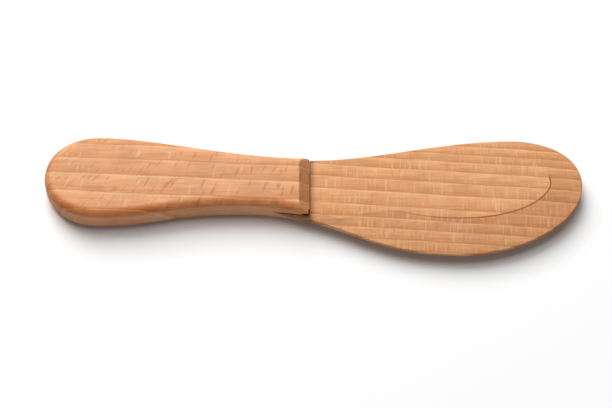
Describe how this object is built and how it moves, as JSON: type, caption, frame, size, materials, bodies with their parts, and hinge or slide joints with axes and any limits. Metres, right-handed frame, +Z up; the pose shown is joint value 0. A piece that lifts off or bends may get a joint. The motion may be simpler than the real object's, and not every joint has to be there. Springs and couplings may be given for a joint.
{
  "type": "butter knife",
  "caption": "Wooden butter knife for spreading: a round-edged handle with a broad, thin, bevelled blade glued into its end by a hidden tang.",
  "frame": {"origin": "middle of the knife's box in X and Y, on the plane of the handle's flat underside", "axes": "+X from the butt to the blade's tip, +Y from the belly to the back, +Z up out of the handle's upper face"},
  "size_m": [0.1644, 0.0382, 0.0105],
  "materials": {
    "handle_wood": "bare beech, finely sanded",
    "blade_wood": "bare beech, planed and sanded"
  },
  "bodies": {
    "root": {"handle": "handle_wood", "blade": "blade_wood"}
  },
  "joints": []
}
